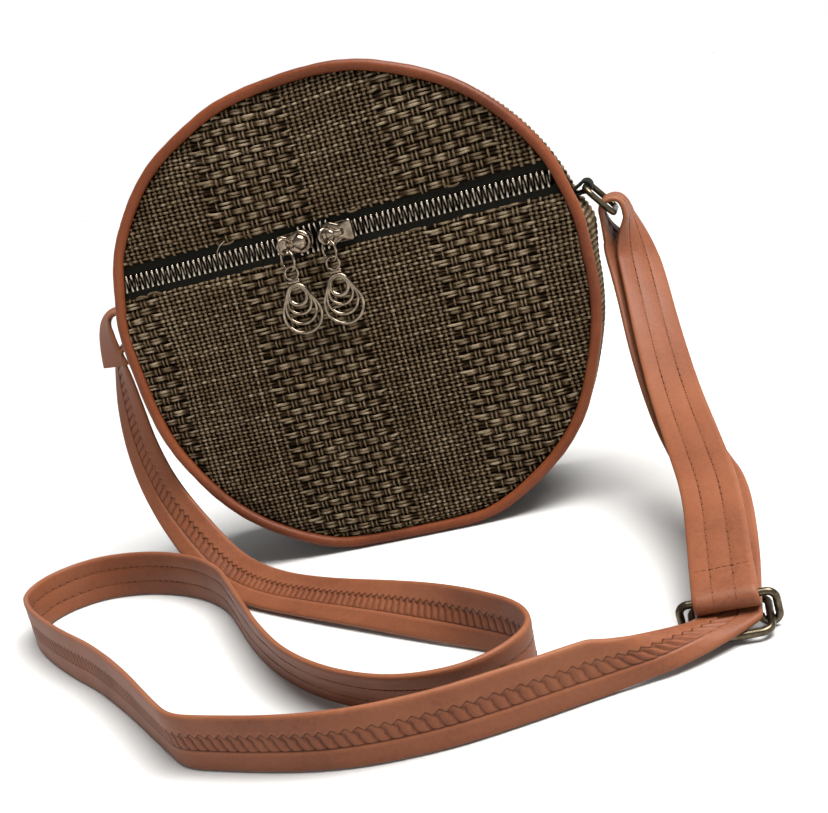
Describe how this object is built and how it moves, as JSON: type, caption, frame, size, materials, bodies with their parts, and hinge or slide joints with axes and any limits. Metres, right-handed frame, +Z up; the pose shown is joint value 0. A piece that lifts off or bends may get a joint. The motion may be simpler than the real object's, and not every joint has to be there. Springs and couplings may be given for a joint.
{
  "type": "circle bag",
  "caption": "Round woven cross-body bag with corded edges, a zipped front pocket with pendant pulls, a main zip over the top, side rings and a long tan strap with a slide buckle.",
  "frame": {"origin": "middle of the flat rest face under the bag", "axes": "+X to the right as seen from the front, front faces -Y, +Z up"},
  "size_m": [0.3003, 0.2705, 0.1954],
  "materials": {
    "woven_straw": "coarse woven straw-like yarn, matt",
    "piping_leather": "smooth tan, satin",
    "strap_leather": "smooth folded tan leather, satin, stitched",
    "lining_cloth": "plain dark cloth",
    "zip_tape": "black woven tape",
    "tab_tape": "black tape",
    "silver_teeth": "aged silver",
    "warm_nickel": "warm nickel plate",
    "dark_brass": "dark antique brass wire"
  },
  "bodies": {
    "bag": {"front_panel_upper": "woven_straw", "front_panel_lower": "woven_straw", "back_panel": "woven_straw", "bottom_gusset": "woven_straw", "top_gusset_front_strip": "woven_straw", "top_gusset_back_strip": "woven_straw", "front_piping": "piping_leather", "back_piping": "piping_leather", "lining_gusset": "lining_cloth", "lining_back": "lining_cloth", "pocket_lining": "lining_cloth", "front_zip_upper_tape": "zip_tape", "front_zip_lower_tape": "zip_tape", "main_zip_front_tape": "zip_tape", "main_zip_back_tape": "zip_tape", "front_zip_upper_teeth": "silver_teeth", "front_zip_lower_teeth": "silver_teeth", "main_zip_front_teeth": "silver_teeth", "main_zip_back_teeth": "silver_teeth", "left_ring_tab": "tab_tape", "right_ring_tab": "tab_tape", "shoulder_strap": "strap_leather", "strap_adjusting_layer": "strap_leather"},
    "left_ring": {"left_ring": "dark_brass"},
    "right_ring": {"right_ring": "dark_brass"},
    "left_slider": {"left_slider": "warm_nickel"},
    "left_eye": {"left_pull_eye": "warm_nickel"},
    "left_link": {"left_link_ring": "warm_nickel"},
    "left_pendant": {"left_pendant": "warm_nickel"},
    "right_slider": {"right_slider": "warm_nickel"},
    "right_eye": {"right_pull_eye": "warm_nickel"},
    "right_link": {"right_link_ring": "warm_nickel"},
    "right_pendant": {"right_pendant": "warm_nickel"},
    "main_slider": {"main_slider": "warm_nickel"},
    "main_pull": {"main_pull": "warm_nickel"},
    "buckle": {"slide_buckle_frame": "dark_brass", "slide_buckle_bar": "dark_brass"}
  },
  "joints": [
    {"name": "left_slider_run", "type": "slide", "parent": "bag", "child": "left_slider", "axis": [-1, 0, 0], "range_m": [0, 0.06], "deforming": ["front_zip_upper_teeth", "front_zip_lower_teeth"]},
    {"name": "right_slider_run", "type": "slide", "parent": "bag", "child": "right_slider", "axis": [1, 0, 0], "range_m": [0, 0.074], "deforming": ["front_zip_upper_teeth", "front_zip_lower_teeth"]},
    {"name": "left_eye_flip", "type": "hinge", "parent": "left_slider", "child": "left_eye", "pos_m": [-0.0162, -0.0356, 0.1285], "axis": [0, 0, 1], "range_deg": [0, 28]},
    {"name": "left_link_swing", "type": "hinge", "parent": "left_eye", "child": "left_link", "pos_m": [-0.01825, -0.03765, 0.1256], "axis": [-0.7071, -0.7071, 0], "range_deg": [0, 30]},
    {"name": "left_pendant_swing", "type": "hinge", "parent": "left_link", "child": "left_pendant", "pos_m": [-0.01825, -0.03765, 0.11845], "axis": [-0.766, 0.6428, 0], "range_deg": [0, 50]},
    {"name": "right_eye_flip", "type": "hinge", "parent": "right_slider", "child": "right_eye", "pos_m": [0.0012, -0.0356, 0.1285], "axis": [0, 0, 1], "range_deg": [0, 28]},
    {"name": "right_link_swing", "type": "hinge", "parent": "right_eye", "child": "right_link", "pos_m": [-0.00085, -0.03765, 0.1256], "axis": [-0.7071, -0.7071, 0], "range_deg": [0, 30]},
    {"name": "right_pendant_swing", "type": "hinge", "parent": "right_link", "child": "right_pendant", "pos_m": [-0.00085, -0.03765, 0.11845], "axis": [-0.766, 0.6428, 0], "range_deg": [0, 50]},
    {"name": "main_slider_run", "type": "hinge", "parent": "bag", "child": "main_slider", "pos_m": [0, 0, 0.095], "axis": [0, 1, 0], "range_deg": [0, 118], "deforming": ["main_zip_front_teeth", "main_zip_back_teeth"]},
    {"name": "main_pull_flip", "type": "hinge", "parent": "main_slider", "child": "main_pull", "pos_m": [-0.09015, 0, 0.13189], "axis": [0, -1, 0], "range_deg": [0, 100]},
    {"name": "right_ring_swing", "type": "hinge", "parent": "bag", "child": "right_ring", "pos_m": [0.09849, 0, 0.11955], "axis": [0, 1, 0], "range_deg": [-7, 7]},
    {"name": "left_ring_swing", "type": "hinge", "parent": "bag", "child": "left_ring", "pos_m": [-0.09849, 0, 0.11955], "axis": [0, 1, 0], "range_deg": [-7, 7]},
    {"name": "buckle_slide", "type": "slide", "parent": "bag", "child": "buckle", "axis": [0, 0.9816, 0.1908], "range_m": [0, 0.035], "deforming": ["strap_adjusting_layer"]}
  ]
}
